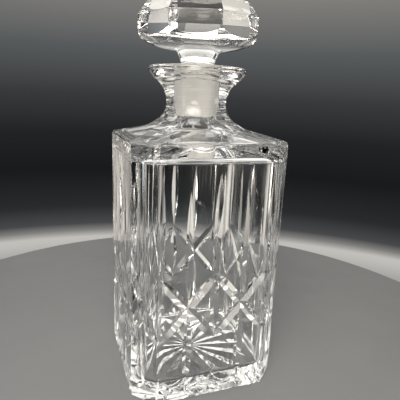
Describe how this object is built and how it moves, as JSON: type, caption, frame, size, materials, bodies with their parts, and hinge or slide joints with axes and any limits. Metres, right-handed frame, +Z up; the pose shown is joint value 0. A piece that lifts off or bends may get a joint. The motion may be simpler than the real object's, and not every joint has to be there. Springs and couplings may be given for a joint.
{
  "type": "wine decanter",
  "caption": "Square cut-crystal decanter with canted corners, a hollow-swept shoulder, a flared lip and a faceted ground-glass stopper that lifts out.",
  "frame": {"origin": "centre of the underside of the foot, on the surface that the decanter stands on", "axes": "+Z up along the axis of neck and stopper; the broad faces look along +X, -X, +Y and -Y, and the front is -Y"},
  "size_m": [0.09, 0.09, 0.227],
  "materials": {
    "crystal_body": "polished cut crystal, ground inside the neck",
    "crystal_stopper": "polished crystal, plug ground matt"
  },
  "bodies": {
    "bottle": {"bottle": "crystal_body"},
    "stopper": {"stopper": "crystal_stopper"}
  },
  "joints": [
    {"name": "stopper_lift", "type": "slide", "parent": "bottle", "child": "stopper", "axis": [0, 0, 1], "range_m": [0, 0.06]}
  ]
}
